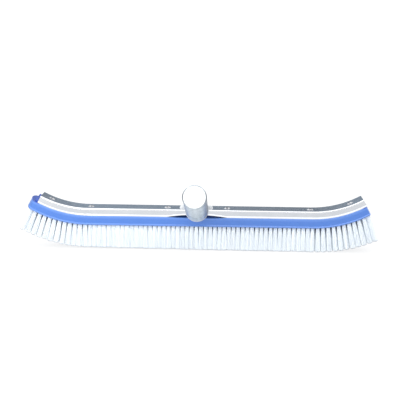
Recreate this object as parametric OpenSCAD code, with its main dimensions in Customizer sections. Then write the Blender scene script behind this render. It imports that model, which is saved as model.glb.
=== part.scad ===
// Curved pool wall brush: a moulded bristle block under a polished aluminium back channel, with a
// cast foot and a tubular handle that slips into a telescopic pole and locks with two spring buttons.
// Millimetres. X runs along the brush, the handle points to -Y, the bristle tips lie on Z = 0.

/* [Brush] */
// Half length of the straight middle of the brush
straight_half = 144; // [130:1:170]
// Radius of the upswept ends, at the top of the channel
curl_r = 128; // [110:1:150]
// Reach of the block on the left, measured along the channel's top
block_left = 212; // [209:0.5:215]
// Reach of the block on the right, measured along the channel's top
block_right = 209.5; // [208:0.5:215]
// How far the rounded left end bulges
left_bulge = 4.5; // [2:0.5:6]
// How far the rounded right end bulges
right_bulge = 1.5; // [1:0.5:5]
// Length of the bristles
bristle_len = 32; // [24:1:40]
// Height of the block's face
block_h = 12; // [10:0.5:15]
// Width of the block at its top ledge
block_w = 28; // [27:0.5:31]
// Width of the block at its underside
block_foot_w = 30; // [28.5:0.5:33]

/* [Bristle rows] */
// Number of bristle rows across the block
rows = 5; // [5]
// Distance between rows
row_pitch = 5.3; // [5:0.05:5.3]
// Angle of the block where the last tufts leave it, on the left
tuft_left_deg = 30; // [25:1:30]
// Angle of the block where the last tufts leave it, on the right
tuft_right_deg = 29; // [25:1:29]
// How much of the block's angle the tufts take
tuft_lean = 0.75; // [0.5:0.05:1]

/* [Back channel] */
// Outside width of the channel
channel_w = 24.5; // [23:0.5:25]
// Height of the channel's flanges
channel_h = 9.5; // [8.5:0.5:11]
// Thickness of the channel
channel_t = 1.6; // [1.2:0.1:2]
// Reach of the channel on the left, measured along its top
channel_left = 206.9; // [202:0.1:210]
// Reach of the channel on the right, measured along its top
channel_right = 210.3; // [202:0.1:211.5]
// Height of the arched relief in the front flange
arch_rise = 3.2; // [2:0.1:4]
// Half width of the arched relief
arch_half = 39; // [30:1:42]

/* [Handle] */
// Offset of the handle from the middle of the brush
handle_x = -4; // [-6:0.5:6]
// Angle of the handle above the horizontal
handle_tilt = 21; // [18:1:24]
// Length of the handle tube
tube_len = 120; // [110:1:130]
// Radius of the part that slips into the pole
spigot_r = 14; // [13.9:0.05:14.05]
// Radius of the tube around the buttons
shank_r = 14.25; // [14.25:0.05:14.4]
// Inside radius of the tube
tube_bore_r = 12.75; // [12.6:0.05:12.9]
// Distance of the tube's lower end in front of the channel's middle
tube_forward = 29; // [27:0.5:33]
// Height of the tube's lower end above the channel's top
tube_rise = 4.6; // [4:0.1:8]

/* [Spring clip] */
// Radius of the locking buttons
button_r = 2.9; // [2.7:0.05:3]
// How far the buttons stand out of the tube
button_proud = 6.2; // [5:0.1:7]
// Height of the buttons above the tube's lower end
button_t = 23; // [21:0.5:25]
// Thickness of the clip's legs
leg_t = 2.2; // [1.8:0.1:2.4]
// Width of the clip's legs
leg_w = 9; // [7:0.5:10]

/* [Hidden] */
$fn = 96;
// Fits
fit_gap = 0.15;                 // side clearance between pieces that are riveted together
pin_gap = 0.05;                 // running and rivet clearance
eps = 1;                        // how far a cutting tool passes a face

// Levels, measured down from the channel's top, and up from the bristle tips
block_top = -channel_h;
block_under = block_top - block_h;
tip_level = block_under - bristle_len;
top_z = -tip_level;
ledge_round = 1;
foot_round = 0.9;
foot_bead_h = 2.4;              // height of the bead along the block's lower edge
foot_bead_slope = 1;

// Channel and the rib of the block that fills it
front_corner_r = 1.3;
back_corner_r = 0.5;
lip_h = 2.1;
lip_out = 0.8;
lip_edge = 0.5;                 // plain part at the foot of the lip
rib_w = channel_w - 2 * channel_t - 2 * fit_gap;
rib_top = -channel_t - fit_gap;
rib_inset = 1.5;
nub_top = -4.6;                 // level of the rib where it comes out of the channel
pocket_d = 11;                  // depth of the relief behind the arch
pocket_sink = 1.2;              // how far it dips into the ledge
pocket_r = (pow(arch_half, 2) + pow(pocket_sink, 2)) / (2 * pocket_sink);
arch_r = (pow(arch_half, 2) + pow(arch_rise, 2)) / (2 * arch_rise);

// Rivets
rivet_r = 2.4;
rivet_head_r = 4.5;
rivet_head_h = 1.4;
rivet_pit_r = 1.8;
rivet_pit_h = 1.2;
rivet_len = 13;
seat_gap = 0.02;
curl_seat = pow(rivet_head_r, 2) / (2 * curl_r);
mid_rivet_s = 141.5;
end_rivet_s = 193;
foot_rivet_half = 38.5;

// Handle foot
foot_half = 46;
foot_w = rib_w;
foot_t = 4;
foot_chamfer = 4;
neck_half = 12;
neck_front = channel_w / 2 + lip_out + 0.2;
neck_slab = 1;
neck_flare = 1;
collar_h = 3.5;
bead_h = 1.8;
bead_out = 0.6;
plug_h = 12;
plug_r = tube_bore_r - 0.1;

// Handle tube
shank_h = 31;
mouth_chamfer = 0.8;
button_hole_r = 3.9;

// Spring clip
head_h = 13;
head_r = tube_bore_r - 0.1;
head_dome = 0.8;
dome_r = (pow(head_r, 2) + pow(head_dome, 2)) / (2 * head_dome);
hinge_x = 7;
hinge_r = 1.3;
hinge_t = tube_len - head_h;
leg_out_x = 11.2;
leg_end_t = 16.5;
slot_w = 5;
slot_h = 9;

tuft_w = row_pitch - 0.4;
tuft_step_deg = 1;

// ---- Helpers ---------------------------------------------------------------------------------

function arc(cx, cy, r, from, to, steps = 4) =
    [for (i = [0:steps]) let (a = from + (to - from) * i / steps) [cx + r * cos(a), cy + r * sin(a)]];

function curl_deg(s) = (abs(s) - straight_half) / curl_r * 180 / PI;

// The straight middle: the outline lies across the brush, with its zero at the channel's top
module along_middle() {
    translate([-straight_half, 0, top_z]) rotate([90, 0, 90]) linear_extrude(2 * straight_half) children();
}

// The right upswept end, through a number of degrees
module along_curl(deg) {
    translate([straight_half, 0, top_z + curl_r]) rotate([90, 0, 0]) rotate([0, 0, -90])
        rotate_extrude(angle = deg) translate([curl_r, 0]) mirror([1, 0]) rotate(-90) children();
}

// An outline carried along the whole brush
module along_brush(left, right) {
    along_middle() children();
    along_curl(curl_deg(right)) children();
    mirror([1, 0, 0]) along_curl(curl_deg(left)) children();
}

// The frame at a distance s along the channel's top: X along the brush, Z square to it
module at(s) {
    a = abs(s) > straight_half ? curl_deg(s) : 0;
    side = sign(s);
    x = abs(s) > straight_half ? side * (straight_half + curl_r * sin(a)) : s;
    translate([x, 0, top_z + curl_r * (1 - cos(a))]) rotate([0, -side * a, 0]) children();
}

// The handle's frame: Z along the tube, from its lower end, X along the brush
module on_handle() {
    translate([handle_x, -tube_forward, top_z + tube_rise]) rotate([90 - handle_tilt, 0, 0]) children();
}

// ---- Bristle block ---------------------------------------------------------------------------

module block_outline() {
    top = block_w / 2;
    foot = block_foot_w / 2;
    bead = block_under + foot_bead_h;
    polygon(concat(
        arc(top - ledge_round, block_top - ledge_round, ledge_round, 0, 90),
        arc(-top + ledge_round, block_top - ledge_round, ledge_round, 90, 180),
        [[-top, bead], [-foot, bead - foot_bead_slope]],
        arc(-foot + foot_round, block_under + foot_round, foot_round, 180, 270),
        arc(foot - foot_round, block_under + foot_round, foot_round, 270, 360),
        [[foot, bead - foot_bead_slope], [top, bead]]
    ));
}

module rib_outline() {
    translate([-rib_w / 2, block_top - ledge_round - 1])
        square([rib_w, rib_top - block_top + ledge_round + 1]);
}

// What is cut off the end of the block, to leave it rounded in plan
module block_end_cut(reach, bulge) {
    end_r = (pow(block_w / 2, 2) + pow(bulge, 2)) / (2 * bulge);
    at(reach) translate([0, 0, block_under - eps]) difference() {
        translate([-bulge, -block_w, 0]) cube([4 * bulge, 2 * block_w, block_h + 2 * eps]);
        translate([bulge - end_r, 0, -eps]) cylinder(r = end_r, h = block_h + 4 * eps, $fn = 256);
    }
}

// What is cut off the rib beyond the end of the channel
module rib_end_cut(reach) {
    at(reach + fit_gap) translate([0, -block_w / 2, nub_top]) cube([block_w, block_w, channel_h]);
}

// The relief behind the arch, under the neck of the foot, with a shallow dished floor
module arch_pocket() {
    front = block_w / 2 + eps;
    intersection() {
        translate([handle_x - arch_half, -front, top_z + block_top - pocket_sink])
            cube([2 * arch_half, front - rib_w / 2 + pocket_d, pocket_sink + arch_rise + eps]);
        translate([handle_x, -front - eps, top_z + block_top - pocket_sink + pocket_r]) rotate([-90, 0, 0])
            cylinder(r = pocket_r, h = block_w, $fn = 512);
    }
}

module brush_body() {
    color([0.33, 0.57, 0.92]) difference() {
        union() {
            along_brush(block_left + left_bulge, block_right + right_bulge) block_outline();
            along_brush(block_left - rib_inset, block_right - rib_inset) rib_outline();
        }
        block_end_cut(block_right, right_bulge);
        mirror([1, 0, 0]) block_end_cut(block_left, left_bulge);
        mirror([1, 0, 0]) rib_end_cut(channel_left);
        arch_pocket();
        translate([handle_x - foot_half - fit_gap, -block_w / 2, top_z + rib_top - foot_t - fit_gap])
            cube([2 * (foot_half + fit_gap), block_w, foot_t + eps]);
        for (s = [-end_rivet_s, -mid_rivet_s, mid_rivet_s, end_rivet_s]) at(s) rivet_hole();
        for (side = [-1, 1]) translate([handle_x + side * foot_rivet_half, 0, top_z]) rivet_hole();
    }
}

// ---- Back channel ----------------------------------------------------------------------------

module channel_outline() {
    half = channel_w / 2;
    inner = half - channel_t;
    polygon(concat(
        arc(half - back_corner_r, -back_corner_r, back_corner_r, 90, 0),
        [[half, -channel_h + lip_h], [half + lip_out, -channel_h + lip_edge],
         [half + lip_out, -channel_h], [inner, -channel_h], [inner, -channel_t],
         [-inner, -channel_t], [-inner, -channel_h], [-half - lip_out, -channel_h],
         [-half - lip_out, -channel_h + lip_edge], [-half, -channel_h + lip_h]],
        arc(-half + front_corner_r, -front_corner_r, front_corner_r, 180, 90)
    ));
}

// The frame of the arched relief in the front flange: Z points to the back, from the flange's face
module on_arch() {
    translate([handle_x, -channel_w / 2, top_z + block_top + arch_rise - arch_r]) rotate([-90, 0, 0])
        children();
}

// The lip of the front flange where it follows the arch
module arch_lip() {
    slope_foot = arch_r + lip_edge;
    intersection() {
        on_arch() union() {
            translate([0, 0, -lip_out]) cylinder(r1 = slope_foot, r2 = arch_r + lip_h, h = lip_out, $fn = 256);
            translate([0, 0, -eps / 10]) cylinder(r = arch_r + lip_h, h = channel_t / 2, $fn = 256);
        }
        translate([handle_x - arch_half, -channel_w, top_z + block_top])
            cube([2 * arch_half, channel_w, arch_rise + lip_h + eps]);
    }
}

module back_channel() {
    front = channel_w / 2 + lip_out;
    color([0.75, 0.78, 0.82]) difference() {
        union() {
            along_brush(channel_left, channel_right) channel_outline();
            arch_lip();
        }
        on_arch() translate([0, 0, -lip_out - eps])
            cylinder(r = arch_r, h = lip_out + eps + channel_t + fit_gap, $fn = 256);
        // slot for the neck of the foot
        translate([handle_x - neck_half - fit_gap, -front - eps, top_z + rib_top - foot_t - fit_gap])
            cube([2 * (neck_half + fit_gap), front + eps - rib_w / 2, foot_t + 2 * fit_gap]);
        for (s = [-end_rivet_s, -mid_rivet_s, mid_rivet_s, end_rivet_s]) at(s) rivet_hole();
        for (side = [-1, 1]) translate([handle_x + side * foot_rivet_half, 0, top_z]) rivet_hole();
    }
}

// ---- Rivets ----------------------------------------------------------------------------------

module rivet_hole() {
    translate([0, 0, -rivet_len - pin_gap]) cylinder(r = rivet_r + pin_gap, h = rivet_len + 2 * eps);
}

// A blind rivet, with the pit that its mandrel leaves in the head; the seat is the level of the head's rim
module rivet(seat = 0) {
    dome = (pow(rivet_head_r, 2) + pow(rivet_head_h, 2)) / (2 * rivet_head_h);
    color([0.82, 0.83, 0.85]) difference() {
        union() {
            translate([0, 0, -rivet_len]) cylinder(r = rivet_r, h = rivet_len + rivet_head_h / 2);
            intersection() {
                translate([0, 0, rivet_head_h - dome]) sphere(r = dome);
                translate([0, 0, seat + seat_gap]) cylinder(r = rivet_head_r + eps, h = rivet_head_h + eps);
            }
        }
        translate([0, 0, rivet_head_h - rivet_pit_h]) cylinder(r = rivet_pit_r, h = rivet_pit_h + eps);
    }
}

// ---- Handle ----------------------------------------------------------------------------------

module handle_foot() {
    plate_z = top_z + rib_top - foot_t;
    half = foot_half;
    side = foot_w / 2;
    c = foot_chamfer;
    color([0.70, 0.72, 0.75]) difference() {
        union() {
            translate([handle_x, 0, plate_z]) linear_extrude(foot_t) polygon([
                [-half + c, -side], [half - c, -side], [half, -side + c], [half, side - c],
                [half - c, side], [-half + c, side], [-half, side - c], [-half, -side + c]
            ]);
            translate([handle_x - neck_half, -neck_front - neck_slab, plate_z])
                cube([2 * neck_half, neck_front + neck_slab - side + 1, foot_t]);
            hull() {
                translate([handle_x - neck_half - neck_flare, -neck_front - neck_slab - 0.5,
                           plate_z - neck_flare])
                    cube([2 * (neck_half + neck_flare), neck_slab + 0.5, foot_t + 2 * neck_flare]);
                on_handle() translate([0, 0, -collar_h + 1])
                    cylinder(r = shank_r - 0.9, h = 1, $fn = 48);
            }
            on_handle() translate([0, 0, -collar_h]) cylinder(r = shank_r, h = collar_h);
            on_handle() translate([0, 0, -collar_h]) collar_bead();
            on_handle() translate([0, 0, -0.5]) cylinder(r = plug_r, h = plug_h + 0.5);
        }
        for (s = [-1, 1]) translate([handle_x + s * foot_rivet_half, 0, top_z]) rivet_hole();
    }
}

// The raised bead around the collar's lower edge
module collar_bead() {
    rotate_extrude() polygon([
        [shank_r - 1, 0], [shank_r + bead_out / 2, 0], [shank_r + bead_out, bead_h / 4],
        [shank_r + bead_out, 3 * bead_h / 4], [shank_r + bead_out / 2, bead_h], [shank_r - 1, bead_h]
    ]);
}

module handle_tube() {
    color([0.78, 0.81, 0.86]) on_handle() difference() {
        union() {
            cylinder(r = shank_r, h = shank_h);
            translate([0, 0, shank_h - 1]) cylinder(r = spigot_r, h = tube_len - shank_h - mouth_chamfer + 1);
            translate([0, 0, tube_len - mouth_chamfer])
                cylinder(r1 = spigot_r, r2 = spigot_r - mouth_chamfer, h = mouth_chamfer);
        }
        translate([0, 0, -eps]) cylinder(r = tube_bore_r, h = tube_len + 2 * eps);
        translate([-shank_r - eps, 0, button_t]) rotate([0, 90, 0])
            cylinder(r = button_hole_r, h = 2 * (shank_r + eps));
    }
}

// ---- Spring clip -----------------------------------------------------------------------------

// A round plug that closes the tube's mouth, with a rounded seat for each leg
module clip_head() {
    color([0.95, 0.95, 0.96]) on_handle() difference() {
        union() {
            translate([0, 0, hinge_t]) cylinder(r = head_r, h = head_h);
            intersection() {
                translate([0, 0, tube_len + head_dome - dome_r]) sphere(r = dome_r);
                translate([0, 0, tube_len - 1]) cylinder(r = head_r, h = head_dome + 2);
            }
        }
        for (side = [-1, 1]) translate([side * hinge_x, leg_w / 2 + pin_gap, hinge_t]) rotate([90, 0, 0])
            cylinder(r = hinge_r + pin_gap, h = leg_w + 2 * pin_gap);
        // moulding recess between the legs
        translate([-slot_w / 2, -leg_w / 2, hinge_t - eps]) cube([slot_w, leg_w, slot_h + eps]);
    }
}

module clip_leg() {
    button_x = shank_r + button_proud - button_r;
    color([0.96, 0.96, 0.97]) on_handle() union() {
        translate([0, leg_w / 2, 0]) rotate([90, 0, 0]) linear_extrude(leg_w) polygon([
            [hinge_x - leg_t / 2, hinge_t], [hinge_x + leg_t / 2, hinge_t],
            [leg_out_x, button_t + button_r + 3], [leg_out_x, leg_end_t],
            [leg_out_x - leg_t, leg_end_t], [leg_out_x - leg_t, button_t + button_r + 3]
        ]);
        translate([hinge_x, leg_w / 2, hinge_t]) rotate([90, 0, 0]) cylinder(r = hinge_r, h = leg_w);
        translate([leg_out_x - leg_t / 2, 0, button_t]) rotate([0, 90, 0])
            cylinder(r = button_r, h = button_x - leg_out_x + leg_t / 2);
        translate([button_x, 0, button_t]) sphere(r = button_r);
    }
}

module clip_leg_right() clip_leg();
module clip_leg_left() translate([2 * handle_x, 0, 0]) mirror([1, 0, 0]) clip_leg();

// ---- Bristles --------------------------------------------------------------------------------

// Side view of the tufts on the right upswept end: their roots follow the block, their tips lean out
function tuft_root(a) = [straight_half + (curl_r - block_under) * sin(a),
                         top_z + curl_r - (curl_r - block_under) * cos(a)];
function tuft_tip(a) = tuft_root(a) + bristle_len * [sin(tuft_lean * a), -cos(tuft_lean * a)];

function row_y(row) = (row - (rows + 1) / 2) * row_pitch;

module bristles_mid(row) color([0.93, 0.96, 0.98])
    translate([-straight_half, row_y(row) - tuft_w / 2, 0]) cube([2 * straight_half, tuft_w, bristle_len]);

// The tufts of one row on the right upswept end, as far as this angle of the block
module bristles_curl(row, reach) {
    angles = [for (a = [0:tuft_step_deg:reach]) a];
    last = len(angles) - 1;
    color([0.93, 0.96, 0.98]) translate([0, row_y(row) + tuft_w / 2, 0]) rotate([90, 0, 0])
        linear_extrude(tuft_w) polygon(concat(
            [for (a = angles) tuft_tip(a)],
            [for (i = [0:last]) tuft_root(angles[last - i])]
        ));
}

module bristles_right(row) bristles_curl(row, tuft_right_deg);
module bristles_left(row) mirror([1, 0, 0]) bristles_curl(row, tuft_left_deg);

// ---- Assembly --------------------------------------------------------------------------------

brush_body();
back_channel();
handle_foot();
handle_tube();
clip_head();
clip_leg_left();
clip_leg_right();

at(-end_rivet_s) rivet(curl_seat);  // rivet_far_left
at(-mid_rivet_s) rivet();  // rivet_mid_left
at(handle_x - foot_rivet_half) rivet();  // rivet_foot_left
at(handle_x + foot_rivet_half) rivet();  // rivet_foot_right
at(mid_rivet_s) rivet();  // rivet_mid_right
at(end_rivet_s) rivet(curl_seat);  // rivet_far_right

for (row = [1:rows]) {
    bristles_left(row);
    bristles_mid(row);
    bristles_right(row);
}
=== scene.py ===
"""Looks of the pool wall brush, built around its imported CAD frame. Metres, Z up, handle towards -Y."""

import math

import bpy
import numpy as np
from mathutils import Matrix, Vector

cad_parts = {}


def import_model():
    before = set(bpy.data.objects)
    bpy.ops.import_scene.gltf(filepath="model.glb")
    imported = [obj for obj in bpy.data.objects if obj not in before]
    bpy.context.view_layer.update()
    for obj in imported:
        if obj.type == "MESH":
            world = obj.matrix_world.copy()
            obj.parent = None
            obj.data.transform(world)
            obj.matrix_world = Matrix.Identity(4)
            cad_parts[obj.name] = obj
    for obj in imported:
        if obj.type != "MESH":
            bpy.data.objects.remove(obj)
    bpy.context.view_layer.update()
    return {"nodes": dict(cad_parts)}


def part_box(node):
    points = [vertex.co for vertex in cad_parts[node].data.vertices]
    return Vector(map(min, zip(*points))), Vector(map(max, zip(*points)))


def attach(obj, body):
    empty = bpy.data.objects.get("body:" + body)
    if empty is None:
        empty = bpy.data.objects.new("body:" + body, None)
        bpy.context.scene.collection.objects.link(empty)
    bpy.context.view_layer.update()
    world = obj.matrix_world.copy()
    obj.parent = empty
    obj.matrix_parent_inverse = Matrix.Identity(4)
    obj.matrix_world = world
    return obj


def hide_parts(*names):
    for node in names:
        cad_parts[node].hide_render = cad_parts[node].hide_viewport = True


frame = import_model()

# ---- Driving dimensions ------------------------------------------------------------------------

SEED = 41
CURL_R = 0.128            # radius of the upswept ends, at the channel's top
CHANNEL_H = 0.0095
BLOCK_H = 0.012

MID_LOW, MID_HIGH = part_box("bristles_3_mid")
STRAIGHT_HALF = MID_HIGH.x
ROOT_Z = MID_HIGH.z
TIP_Z = MID_LOW.z
TOP_Z = ROOT_Z + BLOCK_H + CHANNEL_H
CURL_CENTRE_Z = TOP_Z + CURL_R
ROOT_R = CURL_CENTRE_Z - ROOT_Z
BRISTLE_LEN = ROOT_Z - TIP_Z

# ---- Node helpers ------------------------------------------------------------------------------

NOISE_LOW = 0.3           # most of a noise texture lies between these two values
NOISE_HIGH = 0.7
MIX_FACTOR = 0            # a Mix node's sockets when it mixes colours
MIX_FIRST = 6
MIX_SECOND = 7
MIX_RESULT = 2


def new_material(name):
    """An empty Principled material: (material, node tree, shader)."""
    mat = bpy.data.materials.new(name)
    mat.use_nodes = True
    tree = mat.node_tree
    return mat, tree, tree.nodes["Principled BSDF"]


def add(tree, kind, **values):
    """A node of this kind, with its properties and input defaults set by name."""
    node = tree.nodes.new(kind)
    for key, value in values.items():
        if hasattr(node, key):
            setattr(node, key, value)
        else:
            node.inputs[key.replace("_", " ")].default_value = value
    return node


def link(tree, source, target):
    tree.links.new(source, target)


def object_coords(tree, scale=(1, 1, 1)):
    coords = add(tree, "ShaderNodeTexCoord")
    mapping = add(tree, "ShaderNodeMapping")
    mapping.inputs["Scale"].default_value = scale
    link(tree, coords.outputs["Object"], mapping.inputs["Vector"])
    return mapping.outputs["Vector"]


def components(tree, vector):
    """The X, Y and Z of a vector."""
    split = add(tree, "ShaderNodeSeparateXYZ")
    link(tree, vector, split.inputs["Vector"])
    return split.outputs


def noise(tree, vector, scale, detail=3.0, roughness=0.5):
    node = add(tree, "ShaderNodeTexNoise", Scale=scale, Detail=detail, Roughness=roughness)
    link(tree, vector, node.inputs["Vector"])
    return node.outputs["Fac"]


def remap(tree, value, low, high, to_low=0.0, to_high=1.0):
    node = add(tree, "ShaderNodeMapRange")
    for socket, number in (("From Min", low), ("From Max", high), ("To Min", to_low), ("To Max", to_high)):
        node.inputs[socket].default_value = number
    link(tree, value, node.inputs["Value"])
    return node.outputs["Result"]


def spread(tree, value, to_low=0.0, to_high=1.0):
    """Stretches a noise over this range."""
    return remap(tree, value, NOISE_LOW, NOISE_HIGH, to_low, to_high)


def arithmetic(tree, operation, first, second=0.0):
    """A Math node of this kind, on two sockets or numbers."""
    node = add(tree, "ShaderNodeMath", operation=operation)
    for socket, value in zip(node.inputs, (first, second)):
        if isinstance(value, float):
            socket.default_value = value
        else:
            link(tree, value, socket)
    return node.outputs[0]


def mix_colour(tree, factor, first, second):
    node = add(tree, "ShaderNodeMix", data_type="RGBA")
    link(tree, factor, node.inputs[MIX_FACTOR])
    for socket, colour in ((node.inputs[MIX_FIRST], first), (node.inputs[MIX_SECOND], second)):
        if isinstance(colour, tuple):
            socket.default_value = (*colour, 1.0)
        else:
            link(tree, colour, socket)
    return node.outputs[MIX_RESULT]


def bump(tree, shader, height, strength, distance):
    node = add(tree, "ShaderNodeBump", Strength=strength, Distance=distance)
    link(tree, height, node.inputs["Height"])
    link(tree, node.outputs["Normal"], shader.inputs["Normal"])


def block_place(tree):
    """Distance from the brush's middle, and height above the block's underside, square to it."""
    place = components(tree, object_coords(tree))
    beside = arithmetic(tree, "ABSOLUTE", place["X"])
    beyond = arithmetic(tree, "MAXIMUM", arithmetic(tree, "SUBTRACT", beside, STRAIGHT_HALF), 0.0)
    under = arithmetic(tree, "SUBTRACT", CURL_CENTRE_Z, place["Z"])
    squares = arithmetic(tree, "ADD", arithmetic(tree, "MULTIPLY", beyond, beyond),
                         arithmetic(tree, "MULTIPLY", under, under))
    return beside, arithmetic(tree, "SUBTRACT", ROOT_R, arithmetic(tree, "SQRT", squares))


# ---- Metals ------------------------------------------------------------------------------------

TUBE_DARK = (0.46, 0.52, 0.56)
TUBE_LIGHT = (0.62, 0.68, 0.73)
TUBE_SIDE_SHADE = (0.28, 0.31, 0.35)
TUBE_SHADE_FROM = 0.0085   # painted shade down each side, by its distance from the tube's middle
TUBE_SHADE_FULL = 0.0135
# painted highlight on the channel's rounded top corners
CORNER_HIGHLIGHT = (0.97, 0.98, 1.0)
CORNER_HEIGHT = (0.0196, 0.0202)    # the painted highlight on the channel's rounded top corners begins here, above the underside
CORNER_ACROSS = (0.0106, 0.0110)    # and here, from the brush's middle plane


def ground_lines(tree, shader, grain, roughness, scratch):
    """Fine lines along the grain, in the shader's roughness and bump."""
    lines = noise(tree, object_coords(tree, grain), scale=900.0, detail=4.0, roughness=0.6)
    link(tree, spread(tree, lines, *roughness), shader.inputs["Roughness"])
    bump(tree, shader, lines, strength=scratch, distance=0.00004)


def aluminium(name, light, dark, roughness, grain=(1, 1, 1), scratch=0.5, mottle=45.0):
    """Metal with fine lines along its grain and a soft tarnish."""
    mat, tree, shader = new_material(name)
    shader.inputs["Metallic"].default_value = 1.0
    cloud = spread(tree, noise(tree, object_coords(tree), scale=mottle, roughness=0.55))
    link(tree, mix_colour(tree, cloud, dark, light), shader.inputs["Base Color"])
    ground_lines(tree, shader, grain, roughness, scratch)
    return mat


def paint_corner_highlight(mat):
    """Paints a highlight on the channel's two rounded top corners."""
    tree = mat.node_tree
    colour = tree.nodes["Principled BSDF"].inputs["Base Color"]
    tarnished = colour.links[0].from_socket
    across = arithmetic(tree, "ABSOLUTE", components(tree, object_coords(tree))["Y"])
    _, height = block_place(tree)
    corner = arithmetic(tree, "MULTIPLY", remap(tree, height, *CORNER_HEIGHT),
                        remap(tree, across, *CORNER_ACROSS))
    link(tree, mix_colour(tree, corner, tarnished, CORNER_HIGHLIGHT), colour)


def tube_metal():
    """Drawn tube: soft streaks along its length, and painted shade down each side."""
    mat, tree, shader = new_material("drawn_tube")
    shader.inputs["Metallic"].default_value = 1.0
    low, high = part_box("handle_tube")
    offset = arithmetic(tree, "SUBTRACT", components(tree, object_coords(tree))["X"], (low.x + high.x) / 2)
    beside = arithmetic(tree, "ABSOLUTE", offset)
    streaks = noise(tree, object_coords(tree, scale=(1, 0.12, 0.3)), scale=260.0, roughness=0.6)
    body = mix_colour(tree, remap(tree, streaks, low=0.35, high=0.65), TUBE_DARK, TUBE_LIGHT)
    # painted shade down each side of the tube
    band = remap(tree, beside, TUBE_SHADE_FROM, TUBE_SHADE_FULL)
    link(tree, mix_colour(tree, band, body, TUBE_SIDE_SHADE), shader.inputs["Base Color"])
    ground_lines(tree, shader, grain=(1, 0.05, 0.12), roughness=(0.32, 0.46), scratch=0.25)
    return mat


# ---- Plastics ----------------------------------------------------------------------------------

BLUE_DEEP = (0.034, 0.157, 0.565)
BLUE_PALE = (0.055, 0.196, 0.640)
# painted highlight along the block's top
BLUE_TOP_HIGHLIGHT = (0.120, 0.270, 0.710)
# painted highlight on the bead
BLUE_BEAD_HIGHLIGHT = (0.105, 0.260, 0.730)
# painted shade on the lower rounding
BLUE_UNDER_SHADE = (0.050, 0.160, 0.480)
# painted shade on the nub at the channel's ends
BLUE_NUB_SHADE = (0.022, 0.080, 0.430)
TOP_HIGHLIGHT_HEIGHT = (0.0080, 0.0120)      # where each painted tone fades in, by its height above the underside
BEAD_HIGHLIGHT_HEIGHT = (0.0030, 0.0018)
UNDER_SHADE_HEIGHT = (0.0014, 0.0006)
NUB_SHADE_HEIGHT = (0.0106, 0.0116)
NUB_SHADE_BESIDE = (0.2060, 0.2072)       # where the block's rib comes out of the channel's end, which gets painted shade

NYLON_DULL = (0.86, 0.92, 0.97)
NYLON_CLEAR = (0.94, 0.98, 1.0)
# painted blue reflection of the block at the roots, a little darker
NYLON_ROOT_REFLECTION = (0.80, 0.89, 0.98)
# painted shade at the roots among the other tufts
NYLON_DEEP_SHADE = (0.05, 0.07, 0.13)
# painted shade at the tips
NYLON_TIP_SHADE = (0.45, 0.49, 0.54)
# painted glow, standing in for light passed through the nylon, brightest at the open roots
GLOW_OPEN_ROOT = (0.16, 0.17, 0.19)
GLOW_OUTER = (0.095, 0.10, 0.11)
GLOW_INNER = (0.055, 0.06, 0.065)
BLACK = (0.0, 0.0, 0.0)
OPEN_ROOT_END = 0.15      # how far along a filament the painted reflection and glow at its root reach, at the brush's surface
DEEP_SHADE_END = 0.55      # and the painted shade at the roots among the other tufts
TIP_SHADE_START = 0.965


def blue_plastic():
    """Injection-moulded blue plastic: faint flow marks, a slight orange peel, and a painted highlight
    along the top and on the bead, painted shade on the lower rounding and on the nub.
    """
    mat, tree, shader = new_material("blue_plastic")
    flow = noise(tree, object_coords(tree, scale=(1, 4, 9)), scale=28.0, roughness=0.6)
    beside, height = block_place(tree)
    colour = mix_colour(tree, flow, BLUE_DEEP, BLUE_PALE)
    # painted highlight along the top and on the bead, painted shade on the lower rounding
    for span, tone in ((TOP_HIGHLIGHT_HEIGHT, BLUE_TOP_HIGHLIGHT), (BEAD_HIGHLIGHT_HEIGHT, BLUE_BEAD_HIGHLIGHT), (UNDER_SHADE_HEIGHT, BLUE_UNDER_SHADE)):
        colour = mix_colour(tree, remap(tree, height, *span), colour, tone)
    # painted shade on the nub where the rib comes out of the channel's ends
    nub_shade = arithmetic(tree, "MULTIPLY", remap(tree, height, *NUB_SHADE_HEIGHT), remap(tree, beside, *NUB_SHADE_BESIDE))
    link(tree, mix_colour(tree, nub_shade, colour, BLUE_NUB_SHADE), shader.inputs["Base Color"])
    peel = noise(tree, object_coords(tree), scale=700.0, detail=2.0)
    link(tree, spread(tree, peel, to_low=0.26, to_high=0.38), shader.inputs["Roughness"])
    shader.inputs["Coat Weight"].default_value = 1.0
    shader.inputs["Coat Roughness"].default_value = 0.09
    bump(tree, shader, peel, strength=0.12, distance=0.00006)
    return mat


def white_plastic(name, dark, light):
    """Moulded acetal: slightly uneven in colour, with a fine grain."""
    mat, tree, shader = new_material(name)
    cloud = noise(tree, object_coords(tree), scale=120.0)
    link(tree, mix_colour(tree, cloud, dark, light), shader.inputs["Base Color"])
    grain = noise(tree, object_coords(tree), scale=1800.0, detail=2.0)
    link(tree, spread(tree, grain, to_low=0.3, to_high=0.45), shader.inputs["Roughness"])
    bump(tree, shader, grain, strength=0.15, distance=0.00004)
    return mat


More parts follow.
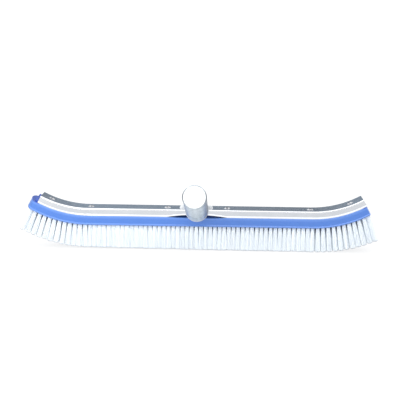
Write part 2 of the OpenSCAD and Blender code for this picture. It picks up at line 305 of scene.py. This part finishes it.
def bristle_plastic():
    """White nylon filament with a painted glow in place of the light it passes along, painted shade at the
    tips and at the root deep inside the brush, and a painted blue reflection at the roots by the brush's
    surface.

    Each filament carries its attributes: "along" from root to tip, "shade" for small differences
    of colour, and "inner", how deep it stands among the other tufts.
    """
    mat, tree, shader = new_material("bristle_nylon")
    along, shade, inner = (add(tree, "ShaderNodeAttribute", attribute_name=name).outputs["Fac"]
                           for name in ("along", "shade", "inner"))
    # painted reflection and painted glow at the roots by the brush's surface
    open_root_light = remap(tree, along, 0.0, OPEN_ROOT_END)
    # painted shade at the roots deep among the tufts
    deep_root_shade = remap(tree, along, 0.0, DEEP_SHADE_END)
    # painted shade at the tips, where the painted glow also stops
    tip_shade_mask = remap(tree, along, TIP_SHADE_START, 1.0)
    body = mix_colour(tree, shade, NYLON_DULL, NYLON_CLEAR)
    colour = mix_colour(tree, inner, mix_colour(tree, open_root_light, NYLON_ROOT_REFLECTION, body),
                        mix_colour(tree, deep_root_shade, NYLON_DEEP_SHADE, body))
    glow = mix_colour(tree, inner, mix_colour(tree, open_root_light, GLOW_OPEN_ROOT, GLOW_OUTER),
                      mix_colour(tree, deep_root_shade, BLACK, GLOW_INNER))
    link(tree, mix_colour(tree, tip_shade_mask, colour, NYLON_TIP_SHADE), shader.inputs["Base Color"])
    link(tree, mix_colour(tree, tip_shade_mask, glow, BLACK), shader.inputs["Emission Color"])
    shader.inputs["Emission Strength"].default_value = 1.0
    link(tree, remap(tree, shade, 0.0, 1.0, to_low=0.32, to_high=0.5), shader.inputs["Roughness"])
    return mat


# ---- Tufts -------------------------------------------------------------------------------------

ROWS = 5
MIDDLE_ROW = 3
TUFTS = 72                # tufts in each odd row; the even rows stand between them and have one less
LEFT_DEG = 30.4           # angle of the block where the rows end
RIGHT_DEG = 29.0
LEAN_LEFT = 0.84          # how much of the block's angle the tufts take
LEAN_RIGHT = 0.68
HOLE_R = 0.00205
STRETCH = 1.11            # how far the bent ends spread the holes apart
END_MARGIN = HOLE_R + 0.0002
END_TUFTS = 1.5           # how many tufts in from a row's end the painted shade of the inner rows is full
ROW_PITCH = 0.0053        # distance between the rows at the roots, and at the tips
TIP_PITCH = 0.0055

FILAMENTS = 58            # filaments in each tuft
FILAMENT_R = 0.00026
ROOT_THICK = 1.05         # thickness at the root, and how much of it the taper takes off at the tip
TAPER = 0.15
SIDES = 4
RING_PLACES = (0.0, 0.3, 0.62, 0.955, 1.0)
SINK = 0.0006             # how far a filament starts inside the block

SHORT_LEFT = 0.045        # how much shorter the trim leaves the left half, as a part of the length,
SHORT_FROM = 0.06         # where that begins, and over what distance it grows
SHORT_OVER = 0.2
LONG_RIGHT = 0.11         # how much longer it leaves the right end, and over what distance it grows
LONG_OVER = 0.066
FULL_EXTRA = 0.20         # extra thickness of the fullest tufts, where they are, how far that spreads
FULL_AT = -0.11
FULL_WIDTH = 0.085

FAN_ALONG = (1.35, 1.55)  # how much wider a tuft is at its tip than in its hole
FAN_ACROSS = (1.15, 1.3)
TUFT_TRIM = 0.006         # random spreads: a tuft's length, as a part of it, and a filament's length
FILAMENT_TRIM = 0.0003
TUFT_WANDER = 0.00022     # how far the tip of a tuft, and of a filament in it, strays
FILAMENT_WANDER = 0.00028
PACKING = 0.04            # how far a filament strays in its hole, as a part of the hole's radius
SHADE_MEAN = 0.6
SHADE_SPREAD = 0.22


def row_frame(s):
    """Root point, down and along directions of the block's underside, s metres from its middle."""
    side = math.copysign(1, s)
    beyond = max(0.0, abs(s) - STRAIGHT_HALF)
    angle = beyond / ROOT_R
    x = min(abs(s), STRAIGHT_HALF) + ROOT_R * math.sin(angle)
    root = Vector((side * x, 0, CURL_CENTRE_Z - ROOT_R * math.cos(angle)))
    lean = angle * (LEAN_LEFT if side < 0 else LEAN_RIGHT)
    down = Vector((side * math.sin(lean), 0, -math.cos(lean)))
    along = Vector((math.cos(lean), 0, side * math.sin(lean)))
    return root, down, along


def stretched(u):
    """Where a hole drilled at u in the straight block lies once the ends are bent up."""
    beyond = max(0.0, abs(u) - STRAIGHT_HALF)
    return math.copysign(min(abs(u), STRAIGHT_HALF) + beyond * STRETCH, u)


def fullness(s):
    """How thick the tufts at s are: they are packed fuller left of the middle."""
    return 1 + FULL_EXTRA * math.exp(-((s - FULL_AT) / FULL_WIDTH) ** 2)


def trim(s):
    """Length of the tufts at s, as a part of the nominal length."""
    left = min(1.0, max(0.0, (SHORT_FROM - s) / SHORT_OVER))
    right = max(0.0, s - STRAIGHT_HALF) / LONG_OVER
    return 1 - SHORT_LEFT * left + LONG_RIGHT * right


def disc_points(rng, count):
    """Points spread evenly over a unit disc, a little disturbed."""
    k = np.arange(count) + 0.5
    radius = np.sqrt(k / count)
    golden_angle = math.pi * (3 - math.sqrt(5))
    turn = k * golden_angle + rng.uniform(0, 2 * math.pi)
    points = np.stack([radius * np.cos(turn), radius * np.sin(turn)], 1)
    return points + rng.normal(0, PACKING, points.shape)


def tuft(rng, s, row_y, lean_y):
    """Centre lines of one tuft's filaments: (filaments, rings, 3)."""
    root, down, along = row_frame(s)
    across = Vector((0, 1, 0))
    disc = disc_points(rng, FILAMENTS)
    tuft_length = BRISTLE_LEN * (trim(s) - abs(rng.normal(0, TUFT_TRIM)))
    length = tuft_length - np.abs(rng.normal(0, FILAMENT_TRIM, FILAMENTS))
    fan = rng.uniform(*FAN_ALONG), rng.uniform(*FAN_ACROSS)
    wander = rng.normal(0, FILAMENT_WANDER, (FILAMENTS, 2))
    wander = wander + rng.normal(0, TUFT_WANDER, 2)
    t = np.array(RING_PLACES)
    bow = 1 - (1 - t) ** 2
    radii = HOLE_R * fullness(s), HOLE_R
    offset_x, offset_y = (radii[i] * disc[:, i:i + 1] * (1 + (fan[i] - 1) * bow) + wander[:, i:i + 1] * bow
                          for i in range(2))
    offset_y = offset_y + row_y + lean_y * t
    depth = -SINK + (length[:, None] + SINK) * t
    axes = [np.array(v) for v in (along, across, down)]
    parts = (offset_x, offset_y, depth)
    return np.array(root) + sum(p[..., None] * a for p, a in zip(parts, axes))


def filament_verts(lines):
    """Corners of the square rings around the centre lines: (filaments * rings * sides, 3)."""
    axis = lines[:, -1] - lines[:, 0]
    axis /= np.linalg.norm(axis, axis=1, keepdims=True)
    side = np.cross(axis, [0, 1, 0])
    side /= np.linalg.norm(side, axis=1, keepdims=True)
    other = np.cross(axis, side)
    turn = np.arange(SIDES) * 2 * math.pi / SIDES + math.pi / SIDES
    ring = side[:, None] * np.cos(turn)[None, :, None] + other[:, None] * np.sin(turn)[None, :, None]
    radius = FILAMENT_R * (ROOT_THICK - TAPER * np.array(RING_PLACES))
    verts = lines[:, :, None] + ring[:, None] * radius[None, :, None, None]
    return verts.reshape(-1, 3)


def filament_faces(count, rings):
    """Four-sided faces of this many filaments: their sides, tips and feet."""
    base = np.arange(count)[:, None, None] * rings * SIDES
    r = np.arange(rings - 1)[None, :, None] * SIDES
    k = np.arange(SIDES)[None, None, :]
    nxt = (k + 1) % SIDES
    quads = np.stack([base + r + k, base + r + nxt, base + r + SIDES + nxt, base + r + SIDES + k], -1)
    foot = base[:, 0, 0]
    tip = foot + (rings - 1) * SIDES
    tips = np.stack([tip + i for i in range(SIDES)], -1)
    feet = np.stack([foot + i for i in reversed(range(SIDES))], -1)
    return np.concatenate([quads.reshape(-1, SIDES), tips, feet])


def filament_mesh(name, lines, shade, inner):
    """One mesh of tapered square filaments, with these centre lines and these values on each filament."""
    count, rings = lines.shape[:2]
    verts = filament_verts(lines)
    faces = filament_faces(count, rings)
    mesh = bpy.data.meshes.new(name)
    mesh.vertices.add(len(verts))
    mesh.vertices.foreach_set("co", verts.astype(np.float32).ravel())
    mesh.loops.add(faces.size)
    mesh.loops.foreach_set("vertex_index", faces.astype(np.int32).ravel())
    mesh.polygons.add(len(faces))
    mesh.polygons.foreach_set("loop_start", np.arange(0, faces.size, SIDES, dtype=np.int32))
    mesh.update(calc_edges=True)
    mesh.polygons.foreach_set("use_smooth", np.ones(len(faces), bool))
    for label, values in (("along", np.tile(np.repeat(RING_PLACES, SIDES), count)),
                          ("shade", np.repeat(shade, rings * SIDES)),
                          ("inner", np.repeat(inner, rings * SIDES))):
        attribute = mesh.attributes.new(label, "FLOAT", "POINT")
        attribute.data.foreach_set("value", values.astype(np.float32))
    mesh.validate()
    return mesh


def tuft_places(row):
    """Where the tufts of a row stand, in metres along the block from its middle."""
    first = -STRAIGHT_HALF - (ROOT_R * math.radians(LEFT_DEG) - END_MARGIN) / STRETCH
    last = STRAIGHT_HALF + (ROOT_R * math.radians(RIGHT_DEG) - END_MARGIN) / STRETCH
    pitch = (last - first) / (TUFTS - 1)
    odd = row % 2
    stagger = 0.0 if odd else pitch / 2
    return [stretched(first + pitch * i + stagger) for i in range(TUFTS if odd else TUFTS - 1)]


def bristle_row(row, material):
    """The tufts of one row, as a left, a middle and a right piece."""
    rng = np.random.default_rng(SEED + row)
    step = row - MIDDLE_ROW
    outer_row = row in (1, ROWS)
    places = tuft_places(row)
    zones = {"left": [], "mid": [], "right": []}
    depths = {"left": [], "mid": [], "right": []}
    for i, s in enumerate(places):
        zone = "left" if s < -STRAIGHT_HALF else "right" if s > STRAIGHT_HALF else "mid"
        zones[zone].append(tuft(rng, s, step * ROW_PITCH, step * (TIP_PITCH - ROW_PITCH)))
        from_end = min(i, len(places) - 1 - i)
        # how deep the filaments stand, which sets their painted shade and dimmer painted glow
        depth = 0.0 if outer_row else min(1.0, from_end / END_TUFTS)
        depths[zone] += [depth] * FILAMENTS
    for zone, tufts in zones.items():
        lines = np.concatenate(tufts)
        shade = np.clip(rng.normal(SHADE_MEAN, SHADE_SPREAD, len(lines)), 0, 1)
        mesh = filament_mesh(f"tufts_{row}_{zone}", lines, shade, np.array(depths[zone]))
        piece = bpy.data.objects.new(f"tufts_{row}_{zone}", mesh)
        bpy.context.scene.collection.objects.link(piece)
        mesh.materials.append(material)
        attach(piece, "brush")
        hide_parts(f"bristles_{row}_{zone}")


# ---- Finishes of the pieces --------------------------------------------------------------------

CHANNEL = aluminium("polished_aluminium", light=(0.65, 0.67, 0.70), dark=(0.59, 0.615, 0.65),
                    roughness=(0.12, 0.24), grain=(0.02, 1, 1), scratch=0.25)
# painted highlight on the channel's top corners
paint_corner_highlight(CHANNEL)
TUBE = tube_metal()
CAST = aluminium("cast_aluminium", light=(0.70, 0.72, 0.75), dark=(0.58, 0.60, 0.64),
                 roughness=(0.35, 0.5))
RIVET = aluminium("rivet_aluminium", light=(0.74, 0.75, 0.77), dark=(0.10, 0.11, 0.14),
                  roughness=(0.16, 0.4), mottle=620.0)
BLUE = blue_plastic()
PLUG = white_plastic("plug_plastic", dark=(0.80, 0.82, 0.82), light=(0.90, 0.91, 0.90))
# a darker copy of the clip's white plastic: painted shade that sets the buttons off from the white
# surround
SHADED_BUTTON = white_plastic("shaded_button_plastic", dark=(0.58, 0.61, 0.64), light=(0.68, 0.71, 0.74))
FINISHES = {
    "brush_body": BLUE, "back_channel": CHANNEL, "handle_foot": CAST, "handle_tube": TUBE,
    "clip_head": PLUG, "clip_leg_left": SHADED_BUTTON, "clip_leg_right": SHADED_BUTTON,
}
for node, cad in frame["nodes"].items():
    finish = FINISHES.get(node, RIVET if node.startswith("rivet") else None)
    if finish:
        cad.data.materials.clear()
        cad.data.materials.append(finish)

BRISTLE = bristle_plastic()
for row in range(1, ROWS + 1):
    bristle_row(row, BRISTLE)

# ---- Stage, light and camera -------------------------------------------------------------------

FLOOR_HALF = 150.0
VIEW_REACH = 1000.0
FLOOR_GAP = 0.0002        # how far the floor lies below the nominal tips
FLOOR_DARK = (0.17, 0.17, 0.17)
FLOOR_LIGHT = (0.19, 0.19, 0.19)
FLOOR_GLOW = 0.79         # its own light, which keeps it white as in the photograph

# The surround, by direction. The channel's top mirrors what is low behind the brush.
BEHIND_LEFT = (0.31, 0.385, 0.47)
BEHIND_RIGHT = (0.185, 0.215, 0.25)
BEHIND_HIGH = (1.4, 1.4, 1.4)
FRONT_LOW = (0.32, 0.34, 0.37)
FRONT_HIGH = (0.50, 0.51, 0.53)
WINGS = (0.5, 0.5, 0.52)
OVERHEAD = (1.8, 1.8, 1.8)
ZENITH = (0.95, 0.97, 1.0)
LEFT_TO_RIGHT = (-0.2, 0.2)         # span of X, Y or Z over which one part gives way to the next
FRONT_TO_BACK = (-0.1, 0.3)
FRONT_RISE = (0.2, 0.45)
BEHIND_RISE = (0.36, 0.55)
WINGS_RISE = (0.5, 0.72)
OVERHEAD_RISE = (0.42, 0.52)
ZENITH_RISE = (0.78, 0.86)
ZENITH_BACK = (-0.06, 0.0)

KEY_PLACE = Vector((-0.36, -0.5, 0.25))
KEY_TARGET = Vector((-0.1, 0, 0.04))
KEY_SIZE = 0.3
KEY_POWER = 1.5

CAM_DISTANCE = 1.093
CAM_AZIMUTH = math.radians(1.19)
CAM_ELEVATION = math.radians(14.17)
CAM_ROLL = math.radians(0.64)
LENS = 76.05
SENSOR = 36.0
SHIFT_X = -0.00125        # the photograph's framing, as parts of its width
SHIFT_Y = 0.0195


def floor():
    h = FLOOR_HALF
    mesh = bpy.data.meshes.new("floor")
    mesh.from_pydata([(-h, -h, 0), (h, -h, 0), (h, h, 0), (-h, h, 0)], [], [(0, 1, 2, 3)])
    piece = bpy.data.objects.new("floor", mesh)
    bpy.context.scene.collection.objects.link(piece)
    piece.location.z = TIP_Z - FLOOR_GAP
    mat, tree, shader = new_material("floor")
    speck = noise(tree, object_coords(tree), scale=3.0, detail=2.0)
    link(tree, mix_colour(tree, speck, FLOOR_DARK, FLOOR_LIGHT), shader.inputs["Base Color"])
    shader.inputs["Roughness"].default_value = 0.9
    shader.inputs["Emission Color"].default_value = (1.0, 1.0, 1.0, 1.0)
    shader.inputs["Emission Strength"].default_value = FLOOR_GLOW
    mesh.materials.append(mat)


def world():
    """A bright studio overhead, softer in front and at the sides, with a grey band low behind."""
    sky = bpy.data.worlds.new("studio")
    sky.use_nodes = True
    tree = sky.node_tree
    background = tree.nodes["Background"]
    x, y, z = components(tree, add(tree, "ShaderNodeTexCoord").outputs["Generated"])
    low = mix_colour(tree, remap(tree, x, *LEFT_TO_RIGHT), BEHIND_LEFT, BEHIND_RIGHT)
    behind = mix_colour(tree, remap(tree, z, *BEHIND_RISE), low, BEHIND_HIGH)
    before = mix_colour(tree, remap(tree, z, *FRONT_RISE), FRONT_LOW, FRONT_HIGH)
    studio = mix_colour(tree, remap(tree, y, *FRONT_TO_BACK), before, behind)
    beside = arithmetic(tree, "ABSOLUTE", x)
    studio = mix_colour(tree, remap(tree, beside, *WINGS_RISE), studio, WINGS)
    studio = mix_colour(tree, remap(tree, z, *OVERHEAD_RISE), studio, OVERHEAD)
    zenith = arithmetic(tree, "MULTIPLY", remap(tree, z, *ZENITH_RISE), remap(tree, y, *ZENITH_BACK))
    link(tree, mix_colour(tree, zenith, studio, ZENITH), background.inputs["Color"])
    background.inputs["Strength"].default_value = 1.0
    bpy.context.scene.world = sky


def key_light():
    data = bpy.data.lights.new("key", "AREA")
    data.size = KEY_SIZE
    data.energy = KEY_POWER
    lamp = bpy.data.objects.new("key", data)
    lamp.location = KEY_PLACE
    lamp.rotation_euler = (KEY_TARGET - KEY_PLACE).to_track_quat("-Z", "Y").to_euler()
    bpy.context.scene.collection.objects.link(lamp)


def camera():
    target = Vector((0, 0, TOP_Z))
    out = Vector((math.sin(CAM_AZIMUTH) * math.cos(CAM_ELEVATION),
                  -math.cos(CAM_AZIMUTH) * math.cos(CAM_ELEVATION), math.sin(CAM_ELEVATION)))
    data = bpy.data.cameras.new("camera")
    data.lens = LENS
    data.sensor_width = SENSOR
    data.clip_end = VIEW_REACH
    data.shift_x = SHIFT_X
    data.shift_y = SHIFT_Y
    cam = bpy.data.objects.new("camera", data)
    cam.location = target + out * CAM_DISTANCE
    turn = (-out).to_track_quat("-Z", "Y").to_matrix().to_4x4()
    cam.rotation_euler = (turn @ Matrix.Rotation(CAM_ROLL, 4, "Z")).to_euler()
    bpy.context.scene.collection.objects.link(cam)
    bpy.context.scene.camera = cam


floor()
world()
key_light()
camera()

view = bpy.context.scene.view_settings
view.view_transform = "Standard"
view.look = "None"
